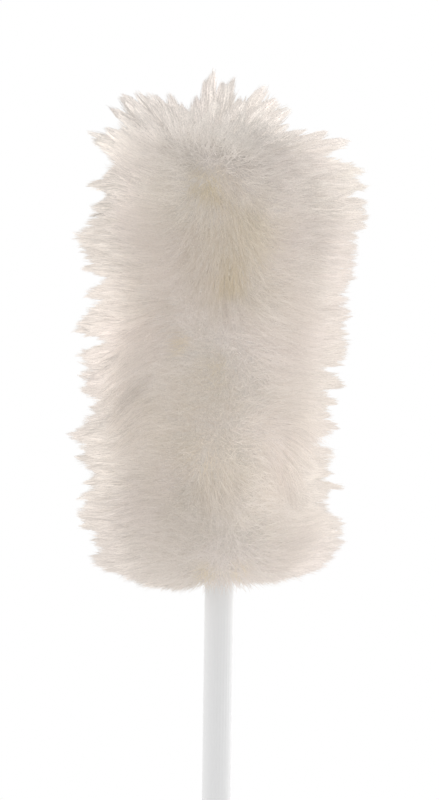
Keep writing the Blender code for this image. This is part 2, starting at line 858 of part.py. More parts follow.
def tufted(outer, inner, chance, ring):
    """The wool's turned body, whose outer rows are drawn out into locks and lean to one side low down."""
    mesh = turned([*map(tuple, outer), *inner], ring=ring, steps=WOOL_STEPS)
    heights = lock_heights(len(outer), WOOL_STEPS, chance)
    slopes = np.gradient(outer, axis=0)
    normals = np.stack([-slopes[:, 1], slopes[:, 0]], axis=1)
    normals /= np.hypot(*normals.T)[:, None]
    last = len(outer) - 1
    for vertex in mesh.vertices:
        x, y, z = vertex.co
        radius = math.hypot(x, y)
        share = (z - head_bottom) / HEAD_LENGTH
        fit = np.hypot(outer[:, 0] - radius, outer[:, 1] - z)
        row = int(np.argmin(fit))
        if fit[row] < ROW_MATCH and radius > wool_bore and 0 < row < last:
            column = round(math.atan2(y, x) / (2 * math.pi) * WOOL_STEPS) % WOOL_STEPS
            edge = min(1.0, (last - row) / 2, row / 2, radius / LOCK_FADE)
            out, up = normals[row] * heights[row, column] * edge
            vertex.co.x += out * x / radius
            vertex.co.y += out * y / radius
            vertex.co.z += up
        spread = ((share - WOOL_LEAN_SHARE) / WOOL_LEAN_SPREAD) ** 2
        held = max(0.0, (radius - wool_bore) / (HEAD_BREADTH / 2 - wool_bore))
        vertex.co.x -= WOOL_LEAN * math.exp(-spread) * held
    return mesh


def crested(mesh, outer, rim):
    """Draws the crown out into its main tufts, which show from the front and fade towards the front and back."""
    sides = np.concatenate([outer[:, 0], -outer[:, 0]]) + CREST_LEAN
    rises = np.tile(outer[:, 1], 2) - (crown_edge - CREST_FOOT)
    angles = np.degrees(np.arctan2(rises, sides))
    order = np.argsort(angles)
    reaches = np.hypot(sides, rises)
    for vertex in mesh.vertices:
        across = vertex.co.x + CREST_LEAN
        up = vertex.co.z - (crown_edge - CREST_FOOT)
        angle = math.degrees(math.atan2(up, across))
        plain = float(np.interp(angle, angles[order], reaches[order]))
        wanted = HEAD_BREADTH / 2 * float(np.interp(angle, *zip(*CREST)))
        held = max(0.0, 1.0 - (vertex.co.y / CREST_DEPTH) ** 2)
        held *= min(1.0, max(0.0, (vertex.co.z - rim) / CROWN_ROW))
        gain = 1.0 + (wanted / plain - 1.0) * held
        vertex.co.x = across * gain - CREST_LEAN
        vertex.co.z = crown_edge - CREST_FOOT + up * gain
    return mesh


# Fleece: the wool that grows from the wound strip, a soft sleeve open below round the tube
chance = random.Random(WOOL_SEED)
neck_radius = inner_radius + SEAT_GAP
neck_top = head_bottom + WOOL_NECK
under_edge = head_bottom + UNDER_EDGE_RISE
side_outline = [*reversed(outline_between(0.0, CROWN_SHARE)), (neck_radius, under_edge)]
side_outer = spaced(side_outline, WOOL_ROW)
side_inner = [
    (neck_radius, neck_top),
    (wool_bore, neck_top + WOOL_NECK / 2),
    (wool_bore, crown_wool_bottom),
    ((wool_bore + wool_reach(CROWN_SHARE)) / 2, (crown_wool_bottom + crown_edge) / 2),
]
fleece = add_piece(
    "fleece", tufted(side_outer, side_inner, chance, ring=True), lambswool, mast_frame
)

# Crown fleece: the wool of the round patch, which closes the top of the head
crown_rise = (crown_edge - crown_wool_bottom) / (wool_reach(CROWN_SHARE) - wool_bore)
crown_outline = list(reversed(outline_between(CROWN_SHARE, WOOL_OUTLINE[-1][0])))
crown_rim = crown_edge + CROWN_SEAM * crown_rise
crown_outline[-1] = (crown_outline[-1][0], crown_rim)
crown_outer = spaced(crown_outline, CROWN_ROW)
crown_inner = [
    (
        (wool_bore + wool_reach(CROWN_SHARE)) / 2,
        (crown_wool_bottom + crown_edge) / 2 + CROWN_SEAM * crown_rise,
    ),
    (wool_bore, crown_wool_bottom + CROWN_SEAM * crown_rise),
    (wool_bore - CROWN_SEAM, crown_wool_bottom),
    (0.0, crown_wool_bottom),
]
crown_fleece = add_piece(
    "crown_fleece",
    crested(tufted(crown_outer, crown_inner, chance, ring=False), crown_outer, crown_rim),
    lambswool,
    mast_frame,
)

lock_travel = LOCK_PITCH * LOCK_TURN / 360
draw_out = outer_top - LEAST_OVERLAP - inner_bottom
print(f"bare tube at rest {(head_bottom - collar_top) / MM:.1f} mm")
print(f"extend from {-REST_DRAW / MM:.1f} to {draw_out / MM:.1f} mm")
print(f"nut travel {lock_travel / MM:.2f} mm, washer room {(nut_bottom - stud_bottom) / MM:.2f} mm")
print(f"length at rest {head_top / MM:.1f} mm, rivet at {rivet_height / MM:.1f} mm")
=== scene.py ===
import math

import bpy
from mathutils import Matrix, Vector, noise


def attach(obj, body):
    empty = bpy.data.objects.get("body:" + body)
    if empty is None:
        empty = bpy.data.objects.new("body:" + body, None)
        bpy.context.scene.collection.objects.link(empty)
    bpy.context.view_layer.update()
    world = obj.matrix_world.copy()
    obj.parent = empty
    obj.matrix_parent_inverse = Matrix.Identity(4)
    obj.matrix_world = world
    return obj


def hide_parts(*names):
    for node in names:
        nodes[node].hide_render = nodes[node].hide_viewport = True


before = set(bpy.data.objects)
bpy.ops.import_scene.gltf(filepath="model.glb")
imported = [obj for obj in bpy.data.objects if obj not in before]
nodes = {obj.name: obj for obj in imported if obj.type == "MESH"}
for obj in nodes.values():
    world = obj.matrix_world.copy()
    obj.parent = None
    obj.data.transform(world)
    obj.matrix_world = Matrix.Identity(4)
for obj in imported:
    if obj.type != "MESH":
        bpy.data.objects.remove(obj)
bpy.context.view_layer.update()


# End cap: a moulded plug of white plastic, flattened to a tab with a hole to hang the duster by.
# It is pushed into the lower end of the wide tube. The mould leaves a fine grain on it, and
# handling greys it in patches.
def fill(tree, node, given):
    for key, value in given.items():
        socket = node.inputs[key] if isinstance(key, int) else next(
            s for s in node.inputs if s.name == key and s.enabled)
        if isinstance(value, bpy.types.NodeSocket):
            tree.links.new(value, socket)
        elif socket.type == "RGBA":
            socket.default_value = (*value, 1.0)
        else:
            socket.default_value = value


def put(tree, kind, given=None, **settings):
    node = tree.nodes.new(kind)
    for name, value in settings.items():
        setattr(node, name, value)
    fill(tree, node, given or {})
    return node


def result(node, name=None):
    return next(s for s in node.outputs if s.enabled and name in (None, s.name))


def here(tree):
    return result(put(tree, "ShaderNodeTexCoord"), "Object")


def calc(tree, operation, *values):
    return result(put(tree, "ShaderNodeMath", dict(enumerate(values)), operation=operation))


def clouds(tree, where, scale, out=None, **more):
    return result(put(tree, "ShaderNodeTexNoise", {"Vector": where, "Scale": scale, **more}), out)


def tint(tree, share, low, high):
    return result(put(tree, "ShaderNodeMix", {"Factor": share, "A": low, "B": high},
                      data_type="RGBA"))


def bumped(tree, height, depth, strength=1.0):
    return result(put(tree, "ShaderNodeBump", {"Height": height, "Distance": depth,
                                               "Strength": strength}))


def new_group(name, kind, inputs, outputs):
    group = bpy.data.node_groups.new(name, kind)
    for socket, (sort, value) in inputs.items():
        made = group.interface.new_socket(socket, in_out="INPUT", socket_type="NodeSocket" + sort)
        if value is not None:
            made.default_value = value
    for socket, sort in outputs.items():
        group.interface.new_socket(socket, in_out="OUTPUT", socket_type="NodeSocket" + sort)
    return group, group.nodes.new("NodeGroupInput").outputs, group.nodes.new("NodeGroupOutput")


def new_material(name):
    material = bpy.data.materials.new(name)
    material.use_nodes = True
    return material, material.node_tree, material.node_tree.nodes["Principled BSDF"]


def mould_grain():
    group, given, made = new_group(
        "mould_grain", "ShaderNodeTree",
        {"Grain Size": ("Float", 0.0004), "Roughness": ("Float", 0.4), "Spread": ("Float", 0.08)},
        {"Height": "Float", "Roughness": "Float", "Handling": "Float"})
    where = here(group)
    smears = clouds(group, where, 60.0, Detail=4.0)
    fill(group, made, {
        "Height": clouds(group, where, calc(group, "DIVIDE", 1.0, given["Grain Size"])),
        "Roughness": calc(group, "MULTIPLY_ADD", smears, given["Spread"], given["Roughness"]),
        "Handling": calc(group, "SMOOTH_MIN", smears, 0.8, 0.1)})
    return group


moulded = mould_grain()


def plastic(name, colour, handled, roughness, grain_size, depth):
    material, tree, shader = new_material(name)
    mould = put(tree, "ShaderNodeGroup", {"Grain Size": grain_size, "Roughness": roughness},
                node_tree=moulded).outputs
    fill(tree, shader, {"Base Color": tint(tree, mould["Handling"], colour, handled),
                        "Roughness": mould["Roughness"],
                        "Normal": bumped(tree, mould["Height"], depth, 0.6)})
    return material


def finish(node, material):
    for slot in nodes[node].material_slots:
        slot.material = material


finish("end_cap", plastic("white_cap", (0.80, 0.80, 0.78), (0.70, 0.69, 0.66), 0.30, 0.0005,
                          0.00002))


# Wide tube: thin steel, rolled and welded, sprayed and baked white. The coat has a faint ripple,
# and long fine scuffs where the tube was wiped and gripped.
def ranged(tree, value, start, end, low=0.0, high=1.0, curve="LINEAR"):
    return result(put(tree, "ShaderNodeMapRange", {
        "Value": value, "From Min": start, "From Max": end, "To Min": low, "To Max": high},
        interpolation_type=curve))


def stretched(tree, where, scale):
    return result(put(tree, "ShaderNodeMapping", {"Vector": where, "Scale": scale}))


def stove_coat():
    group, given, made = new_group(
        "stove_coat", "ShaderNodeTree", {"Scuffs": ("Float", 0.3)},
        {"Height": "Float", "Roughness": "Float", "Scuff": "Float"})
    where = here(group)
    drawn = stretched(group, where, (900.0, 900.0, 18.0))
    scratch = ranged(group, clouds(group, drawn, 1.0, Detail=3.0), 0.55, 0.75)
    rubbed = ranged(group, clouds(group, where, 14.0, Detail=3.0), 0.5, 0.75)
    scuff = calc(group, "MULTIPLY", calc(group, "MULTIPLY", rubbed, scratch), given["Scuffs"])
    fill(group, made, {"Height": clouds(group, where, 700.0, Detail=1.0), "Scuff": scuff,
                       "Roughness": calc(group, "MULTIPLY_ADD", scuff, 0.4, 0.46)})
    return group


coat = stove_coat()


def white_coat(name, scuffs):
    material, tree, shader = new_material(name)
    baked = put(tree, "ShaderNodeGroup", {"Scuffs": scuffs}, node_tree=coat).outputs
    colour = tint(tree, baked["Scuff"], (0.86, 0.86, 0.85), (0.59, 0.59, 0.58))
    fill(tree, shader, {"Base Color": colour, "Roughness": baked["Roughness"],
                        "Normal": bumped(tree, baked["Height"], 0.00003, 0.5),
                        "Specular IOR Level": 0.06})
    return material


finish("outer_tube", white_coat("wide_tube_coat", 0.5))

# Grip and mouth collar: grey plastic, moulded over the wide tube, the one ringed for the hand and
# the other fluted for the twist of the lock. Skin oil darkens and polishes them in patches.
finish("grip", plastic("grip_grey", (0.34, 0.35, 0.36), (0.27, 0.28, 0.29), 0.52, 0.0006,
                       0.00006))
finish("mouth_collar", plastic("collar_grey", (0.34, 0.35, 0.36), (0.28, 0.29, 0.30), 0.40,
                               0.0005, 0.00003))

# Narrow tube: the same coated steel, one size down, so that it slides in the wide one. It carries
# the lock at its lower end and the wool at its upper end.
finish("inner_tube", white_coat("narrow_tube_coat", 0.25))

# Twist lock: a plug with a threaded stud, a split sleeve round it and a coned nut on the stud, of
# grey and natural plastic, with a steel washer and screw to stop the nut.
finish("lock_plug", plastic("plug_grey", (0.30, 0.31, 0.32), (0.25, 0.26, 0.27), 0.42, 0.0004,
                            0.00003))
finish("draw_nut", plastic("nut_grey", (0.30, 0.31, 0.32), (0.24, 0.25, 0.26), 0.42, 0.0004,
                           0.00003))
finish("lock_sleeve", plastic("sleeve_natural", (0.78, 0.78, 0.75), (0.68, 0.67, 0.62), 0.36,
                              0.0004, 0.00002))


def turned_steel():
    material, tree, shader = new_material("turned_steel")
    where = here(tree)
    grooves, patches = clouds(tree, where, 1500.0, Detail=3.0), clouds(tree, where, 240.0)
    fill(tree, shader, {
        "Base Color": tint(tree, patches, (0.74, 0.74, 0.75), (0.60, 0.60, 0.60)),
        "Roughness": calc(tree, "MULTIPLY_ADD", patches, 0.25, 0.2), "Metallic": 1.0,
        "Normal": bumped(tree, grooves, 0.00002, 0.4)})
    return material


steel = turned_steel()
for small_piece in ("stop_washer", "stop_screw", "core_rivet", "strip_tack_low",
                    "strip_tack_high", "crown_tack"):
    finish(small_piece, steel)


# Core: a turned beech dowel with its lower end cut down to fit the narrow tube. The grain runs
# along it, with the short brown flecks of beech.
def beech_wood():
    material, tree, shader = new_material("beech")
    where = here(tree)
    rings = clouds(tree, stretched(tree, where, (260.0, 260.0, 9.0)), 1.0, Detail=4.0)
    flecks = clouds(tree, stretched(tree, where, (1800.0, 1800.0, 260.0)), 1.0)
    flecked = calc(tree, "MULTIPLY", ranged(tree, flecks, 0.62, 0.68), 0.6)
    plain = tint(tree, rings, (0.72, 0.55, 0.37), (0.56, 0.40, 0.24))
    fill(tree, shader, {"Base Color": tint(tree, flecked, plain, (0.38, 0.24, 0.13)),
                        "Roughness": 0.6, "Normal": bumped(tree, rings, 0.00005)})
    return material


finish("head_core", beech_wood())


# Skin: tanned lambskin, a long strip wound up the core and a round patch over the end, tacked on.
# Its flesh side is a creamy suede with pores.
def lambskin():
    material, tree, shader = new_material("lambskin")
    where = here(tree)
    pores = put(tree, "ShaderNodeTexVoronoi", {"Vector": where, "Scale": 900.0})
    blotches = clouds(tree, where, 70.0, Detail=4.0)
    fill(tree, shader, {
        "Base Color": tint(tree, blotches, (0.84, 0.74, 0.58), (0.70, 0.58, 0.41)),
        "Roughness": 0.85, "Sheen Weight": 0.3, "Normal": bumped(tree, result(pores), 0.0002)})
    return material


suede = lambskin()
finish("hide_strip", suede)
finish("hide_crown", suede)

# Undercoat: the dense, springy wool next to the skin, too thick to see into. It fills the head to
# a centimetre or two under the tips, fuller on one side than the other, as the strip was wound.
# The wool of the strip and of the round patch meet in a cone.
BROW = 0.8368
STRIP_TOP = 0.8109
LOW_CORE, HIGH_CORE = 0.612, 0.820
CROWN_MIDDLE = -0.010
# where the crown starts, the height over which it takes its shape, and its slope to one side
CROWN_FROM, CROWN_BLEND, CROWN_TILT = 0.80, 0.04, 0.18
DOME_FROM = CROWN_FROM - 0.01
# scale and height of the swells of the whole outline
SWELLS = ((28.0, 0.004), (75.0, 0.0015))
# how far in front of the middle and behind it the outline of the picture fades out, and the
# height from which it counts
EDGE_DEPTH = 0.045
EDGE_FROM, EDGE_BLEND = 0.5955, 0.004
# the lower edge hangs down below this height, and less and less in front and behind
HANG_FROM, HANG_BLEND, HANG_DEPTH = 0.615, 0.015, 0.060
# degrees up from either side where the crest starts, and over which it takes its shape
CREST_FROM, CREST_BLEND = 8.0, 6.0
# how far its tufts rise in front and behind, and how unevenly
TUFT_RISE, TUFT_WAVE = 0.004, 0.010
# height, half breadth and how far the middle stands off the tube, in metres
GIRTH = [(0.5926, 0.06, -0.004), (0.607, 0.062, -0.005), (0.621, 0.064, -0.0025),
         (0.635, 0.065, -0.006), (0.649, 0.0625, -0.007), (0.663, 0.0645, -0.008),
         (0.678, 0.064, -0.009), (0.692, 0.063, -0.0065), (0.706, 0.0655, -0.0065),
         (0.72, 0.0685, -0.006), (0.734, 0.067, -0.0045), (0.749, 0.0655, -0.002),
         (0.763, 0.066, 0), (0.777, 0.0695, -0.002), (0.791, 0.0715, -0.001),
         (0.805, 0.0695, 0.0025), (0.82, 0.068, 0.003), (0.834, 0.067, -0.001),
         (0.85, 0.068, -0.004)]
# share of the half breadth and height, from the tube round the wool to the top
LOWER_EDGE = [(0.17, 0.6), (0.3, 0.5955), (0.5, 0.5945), (0.68, 0.5955), (0.82, 0.5985),
              (0.92, 0.6045), (0.975, 0.613), (1, 0.624)]
UPPER_EDGE = [(1, 0.808), (0.985, 0.816), (0.95, 0.824), (0.89, 0.831), (0.815, 0.8367),
              (0.815, 0.8369), (0.68, 0.8425), (0.54, 0.846), (0.38, 0.8485), (0.2, 0.85),
              (0, 0.8505)]
# degrees up from the right and reach in mm from the middle of the crown, tip and notch by turns
CREST = [(11.5, 78.8), (16.4, 82.5), (19.2, 70.3), (22.9, 67), (26.7, 56.1), (30.3, 50.8),
         (34, 50.6), (39, 59.5), (41.7, 44.2), (45.9, 60.4), (48.6, 53.1), (50.6, 60.4),
         (52.3, 47.5), (56.5, 60.6), (59.3, 54.6), (62, 54.2), (64, 53.4), (66.6, 39.4),
         (70.2, 35.7), (72.8, 52.7), (75.1, 57.2), (77.8, 53.9), (79.5, 50), (82.7, 49.3),
         (88, 60.7), (90, 53.7), (92.6, 50.4), (95.4, 43.8), (99, 43.6), (102.5, 30.7),
         (105.8, 39.3), (109.4, 43.3), (112.2, 35.2), (115.8, 49.8), (118.9, 46.5), (123.4, 50.9),
         (128.9, 60.3), (131.9, 56.9), (136.2, 67.1), (140.3, 59.4), (145.6, 70.7), (148.6, 57.6),
         (151.6, 50.6), (155.9, 59.5), (160.2, 68.8), (164.3, 68.1), (168.4, 59.5)]
# height and reach in mm to the left and to the right of the tube, tip and notch by turns
LEFT_EDGE = [(598, 52.4), (601, 65.8), (605, 72), (608.5, 72.7), (612, 63.6), (616, 68.1),
             (617.5, 75.7), (620.5, 64.2), (626, 79.1), (631.5, 79.5), (639.5, 74.9),
             (643.5, 77.5), (648, 67.4), (651.5, 78.1), (653.5, 68.2), (662.5, 81.2), (668, 74.5),
             (675.5, 84.8), (682.5, 75.2), (692.5, 71.1), (696.5, 71.3), (700, 80.6),
             (703.5, 73.6), (706.5, 80.2), (711, 75.4), (721, 81.2), (726.5, 63.5), (730, 63.2),
             (731, 73.7), (733, 83), (747.5, 72.2), (749.5, 56.8), (753, 79.3), (761, 61.4),
             (768.5, 81.2), (771.5, 70.4), (774, 78.4), (776, 75.9), (779.5, 79.3), (783.5, 82.8),
             (796, 72), (802.5, 72.1), (809.5, 63.4), (811.3, 64.9), (812.8, 79.1), (815.5, 74.2),
             (819.5, 63.6), (821, 70.9), (824, 58.7), (830, 66.5)]
RIGHT_EDGE = [(596.5, 35.9), (603.5, 58.8), (610, 64.4), (617, 69.3), (620.5, 68.1), (628, 70.1),
              (631.5, 67.2), (633.5, 59.1), (643.5, 59.1), (645.5, 64.4), (647, 58), (650, 69.2),
              (651, 51.8), (655.5, 62.9), (660, 59), (668.5, 63.9), (670, 50.8), (675.5, 49.3),
              (677.5, 58.3), (683, 65.3), (688.5, 59.5), (693, 56.5), (696.5, 65.6),
              (700.5, 51.3), (705.5, 70.2), (716, 49.4), (717.5, 67.6), (719.5, 67.8), (722, 69),
              (727.5, 70.4), (730.5, 60.1), (733, 70.1), (738.5, 64), (740.5, 72), (746, 70.1),
              (750.5, 67.5), (761.5, 69.1), (764, 72.1), (783.5, 72.6), (791.5, 73.9),
              (792.5, 79), (797, 79.9), (801.5, 76.5), (806, 81.3), (809.5, 60.9), (815.5, 82.1),
              (819.5, 69.4), (823.8, 77.6), (829, 68.2)]
# place across and how far the lower edge hangs down there, in mm
LOWER_HANG = [(-66, 7), (-52, 1.5), (-45, 4.5), (-27, 7), (-18, 7), (-11, 3.5), (0, 2), (11, 0.5),
              (23, 0), (45, 0.5), (58, 5), (67, 6)]
SIDE_RINGS, FINE_RINGS, CROWN_RINGS = 30, 150, 36
TURN_STEPS = 96


def limited(share):
    return min(1.0, max(0.0, share))


def between(table, height):
    for low, high in zip(table, table[1:]):
        if height <= high[0]:
            share = max(0.0, (height - low[0]) / (high[0] - low[0]))
            return [a + (b - a) * share for a, b in zip(low, high)]
    return list(table[-1])


def reach_at(table, place):
    return between(table, place)[1] / 1000.0


def finer(rings, steps=6):
    fine = [(low[0] + (high[0] - low[0]) * i / steps, low[1] + (high[1] - low[1]) * i / steps)
            for low, high in zip(rings, rings[1:]) for i in range(steps)]
    return fine + [rings[-1]]


def wool_section(side_rings, crown_rings=0):
    first, last = LOWER_EDGE[-1], UPPER_EDGE[0]
    side = [(1.0, first[1] + (last[1] - first[1]) * i / side_rings) for i in range(1, side_rings)]
    if not crown_rings:
        return LOWER_EDGE + side + UPPER_EDGE
    rim = [ring for ring in UPPER_EDGE if ring[1] < BROW]
    dome = [(-share, height) for share, height in UPPER_EDGE if height > BROW]
    shares = [-dome[0][0] * (1.0 - i / crown_rings) for i in range(crown_rings + 1)]
    crown = [(share, between(dome, -share)[1]) for share in shares]
    return finer(LOWER_EDGE) + side + finer(rim) + crown


def wool_point(share, height, turn, inset=0.0):
    breadth, middle = between(GIRTH, height)[1:]
    reach = breadth * share
    point = Vector((reach * math.cos(turn) + middle * min(1.0, share * 1.5),
                    reach * math.sin(turn), height))
    crown = limited((height - CROWN_FROM) / CROWN_BLEND)
    point.z -= point.x * CROWN_TILT * crown
    low = limited((HANG_FROM - height) / HANG_BLEND)
    low *= max(0.0, 1.0 - (point.y / HANG_DEPTH) ** 2)
    point.z -= reach_at(LOWER_HANG, point.x * 1000.0) * low * min(1.0, share * 2.5)
    core = Vector((CROWN_MIDDLE * crown, 0.0, min(max(height, LOW_CORE), HIGH_CORE)))
    growth = (point - core).normalized()
    swell = sum(noise.noise(point * scale) * rise for scale, rise in SWELLS)
    return point + growth * (swell * min(1.0, share * 2.0) - inset)


def dome_reach():
    reach = []
    for share, height in wool_section(SIDE_RINGS, CROWN_RINGS):
        for turn in (0.0, math.pi):
            point = wool_point(share, height, turn)
            across, up = point.x - CROWN_MIDDLE, point.z - HIGH_CORE
            if height >= DOME_FROM:
                reach.append((math.degrees(math.atan2(up, across)), math.hypot(across, up)))
    return sorted(reach)


def side_point(share, height, turn):
    point = wool_point(share, height, turn)
    edge, side = (RIGHT_EDGE, 0.0) if point.x > 0.0 else (LEFT_EDGE, math.pi)
    plain = abs(wool_point(share, height, side).x)
    depth = min(1.0, abs(point.y) / EDGE_DEPTH)
    fade = (1.0 - depth * depth) * limited((point.z - EDGE_FROM) / EDGE_BLEND)
    point.x *= 1.0 + fade * (reach_at(edge, point.z * 1000.0) / plain - 1.0)
    return point


def tufted_point(share, height, turn):
    point = wool_point(share, height, turn)
    across, up = point.x - CROWN_MIDDLE, point.z - HIGH_CORE
    angle = math.degrees(math.atan2(up, across))
    fade = limited((min(angle, 180.0 - angle) - CREST_FROM) / CREST_BLEND)
    if up <= 0.0 or fade == 0.0:
        return side_point(share, height, turn)
    depth = min(1.0, abs(point.y) / EDGE_DEPTH)
    plain = between(DOME, angle)[1]
    wave = noise.noise(Vector((angle * 0.12, point.y * 60.0, 5.0))) * TUFT_WAVE
    tufts = (plain + TUFT_RISE + wave) * depth ** 2
    wanted = reach_at(CREST, angle) * (1.0 - depth * depth) + tufts
    grown = 1.0 + fade * (wanted / max(0.01, plain) - 1.0)
    return Vector((CROWN_MIDDLE + across * grown, point.y, HIGH_CORE + up * grown))


def new_object(name, data):
    made = bpy.data.objects.new(name, data)
    bpy.context.scene.collection.objects.link(made)
    return made


def new_mesh(name, points, faces):
    mesh = bpy.data.meshes.new(name)
    mesh.from_pydata(points, [], faces)
    mesh.polygons.foreach_set("use_smooth", [True] * len(mesh.polygons))
    return mesh


def lathe(name, rings, closed=False):
    steps = max(len(ring) for ring in rings)
    points, faces, starts = [], [], []
    for ring in rings:
        starts.append(len(points))
        points += ring
    order = [*range(len(rings)), 0] if closed else range(len(rings))
    for low, high in zip(order, order[1:]):
        a, b = starts[low], starts[high]
        for i in range(steps):
            j = (i + 1) % steps
            if len(rings[high]) == 1:
                faces.append((a + i, a + j, b))
            elif len(rings[low]) == 1:
                faces.append((a, b + j, b + i))
            else:
                faces.append((a + i, a + j, b + j, b + i))
    mesh = new_mesh(name, points, faces)
    mesh.set_sharp_from_angle(angle=math.radians(60))
    mesh.update()
    return new_object(name, mesh)


def wool_ring(point_at, share, height, *more):
    turns = [math.tau * i / TURN_STEPS for i in range(TURN_STEPS)] if share > 0.0 else [0.0]
    return [point_at(share, height, turn, *more) for turn in turns]


def circle(reach, height, steps=TURN_STEPS):
    return [Vector((reach * math.cos(math.tau * i / steps), reach * math.sin(math.tau * i / steps),
                    height)) for i in range(steps)]


# yellow stains of the wool's own grease: place and reach in mm, and depth
YOLK_STAINS = [((-8, -50, 599.5), 12, 0.8), ((12, -50, 600), 12, 0.9), ((3, -66, 757), 18, 0.65),
               ((-23.5, -62, 727), 12, 0.7), ((-8, -67, 812), 20, 0.9),
               ((-4, -66, 709.5), 14, 0.6), ((-9, -64, 662.6), 13, 0.5),
               ((16, -62, 784), 34, 0.25), ((-2, -66, 775), 72, 0.18), ((-8, -66, 670), 64, 0.2),
               ((30, 58, 700), 22, 0.8), ((-55, 30, 770), 18, 0.7), ((62, 15, 660), 16, 0.7)]
# painted shade, and painted light where the depth is above nought: place, reach in mm, depth
PAINTED_SHADE_AND_LIGHT_PATCHES = [((-16, -66, 770), 55, -0.05), ((-26, -55, 842), 52, -0.13),
                ((-34, -60, 640), 46, -0.1), ((16, -54, 838), 50, -0.24),
                ((-60, -25, 730), 32, 0.07), ((42, -48, 790), 40, -0.08),
                ((-62, -20, 745), 40, 0.12), ((-62, -22, 664), 30, 0.14),
                ((40, -50, 655), 45, 0.08), ((20, 60, 780), 60, -0.1), ((30, 55, 640), 50, -0.08),
                ((8, -66, 742), 26, -0.08), ((-10, -66, 658), 28, 0.16),
                ((6, -62, 826), 34, 0.15), ((26, -48, 848), 40, -0.16),
                ((22, -14, 866), 40, 0.18), ((-44, -50, 700), 26, -0.05),
                ((54, -38, 618), 20, -0.08), ((-66, -10, 838), 30, 0.18),
                ((56, -30, 785), 24, -0.07), ((-80, 0, 775), 40, 0.06), ((-80, 0, 705), 44, 0.1),
                ((-78, 0, 640), 40, 0.1), ((45, -40, 667), 30, 0.06), ((30, -58, 648), 40, 0.07),
                ((-41, -55, 778), 28, -0.05), ((-27, -62, 750), 30, -0.05),
                ((55, -30, 829), 24, -0.07), ((-62, -28, 714), 28, 0.07)]
# painted shadow where a lock lies over the next: ends of the dark line, breadth in mm, and depth
PAINTED_LOCK_SHADOWS = [((-38, -59, 708), (-67, -32, 681.5), 5.6, -0.24),
            ((-52, -48, 695), (-78, -10, 671.6), 3.4, -0.22),
            ((-46, -55, 731), (-78, -8, 702), 2.8, -0.18),
            ((-54, -46, 722.5), (-78, -6, 701), 2.4, -0.16),
            ((-46, -52, 673), (-74, -12, 669.5), 3.4, -0.12),
            ((35.8, -53, 683), (34, -53, 650), 2.6, -0.12),
            ((14, -65, 686), (43, -48, 690.8), 3, -0.12),
            ((4, -66, 669), (12, -65, 645), 3, -0.08),
            ((16, -63, 713.6), (60, -32, 708.6), 2.8, -0.11),
            ((-56, -42, 813), (-30, -60, 848), 3, -0.11)]


def metres(*lengths):
    return [length / 1000.0 for length in lengths]


def vec(tree, operation, *values, out=None):
    return result(put(tree, "ShaderNodeVectorMath", dict(enumerate(values)),
                      operation=operation), out)


def scaled(tree, vector, factor):
    return result(put(tree, "ShaderNodeVectorMath", {0: vector, "Scale": factor},
                      operation="SCALE"))


# a soft, ragged round mask, for the grease stains and for the patches of painted shade and light
def stain_and_shade_patch():
    group, given, made = new_group(
        "stain_and_shade_patch", "ShaderNodeTree", {"Place": ("Vector", None), "Reach": ("Float", 0.02)},
        {"Stain And Shade": "Float"})
    where = here(group)
    ragged = clouds(group, where, 90.0, Detail=3.0)
    far = vec(group, "DISTANCE", where, given["Place"], out="Value")
    reach = calc(group, "MULTIPLY", given["Reach"], calc(group, "MULTIPLY_ADD", ragged, 1.6, 0.2))
    share = calc(group, "DIVIDE", far, reach)
    fill(group, made, {"Stain And Shade": ranged(group, share, 1.0, 0.0, curve="SMOOTHSTEP")})
    return group


# painted shadow along a ragged line where one lock lies over the next, fading out at both ends
def painted_lock_shadow():
    group, given, made = new_group(
        "painted_lock_shadow", "ShaderNodeTree",
        {"From": ("Vector", None), "To": ("Vector", None), "Breadth": ("Float", 0.003)},
        {"Lock Shadow": "Float"})
    where = here(group)
    ragged = vec(group, "SUBTRACT", clouds(group, where, 120.0, "Color"), (0.5, 0.5, 0.5))
    where = vec(group, "ADD", where, vec(group, "MULTIPLY", ragged, (0.006, 0.006, 0.006)))
    run = vec(group, "SUBTRACT", given["To"], given["From"])
    off = vec(group, "SUBTRACT", where, given["From"])
    share = result(put(group, "ShaderNodeClamp", {"Value": calc(
        group, "DIVIDE", vec(group, "DOT_PRODUCT", off, run, out="Value"),
        vec(group, "DOT_PRODUCT", run, run, out="Value"))}))
    aside = vec(group, "MULTIPLY", vec(group, "SUBTRACT", off, scaled(group, run, share)),
                (1.0, 0.12, 1.0))
    far = calc(group, "DIVIDE", vec(group, "LENGTH", aside, out="Value"), given["Breadth"])
    fade = calc(group, "MULTIPLY", share, calc(group, "SUBTRACT", 4.0, calc(
        group, "MULTIPLY", share, 4.0)))
    fill(group, made, {"Lock Shadow": calc(group, "MULTIPLY", ranged(
        group, far, 1.0, 0.0, curve="SMOOTHSTEP"), fade)})
    return group


stain_and_shade_mask = stain_and_shade_patch()
lock_shadow_mask = painted_lock_shadow()


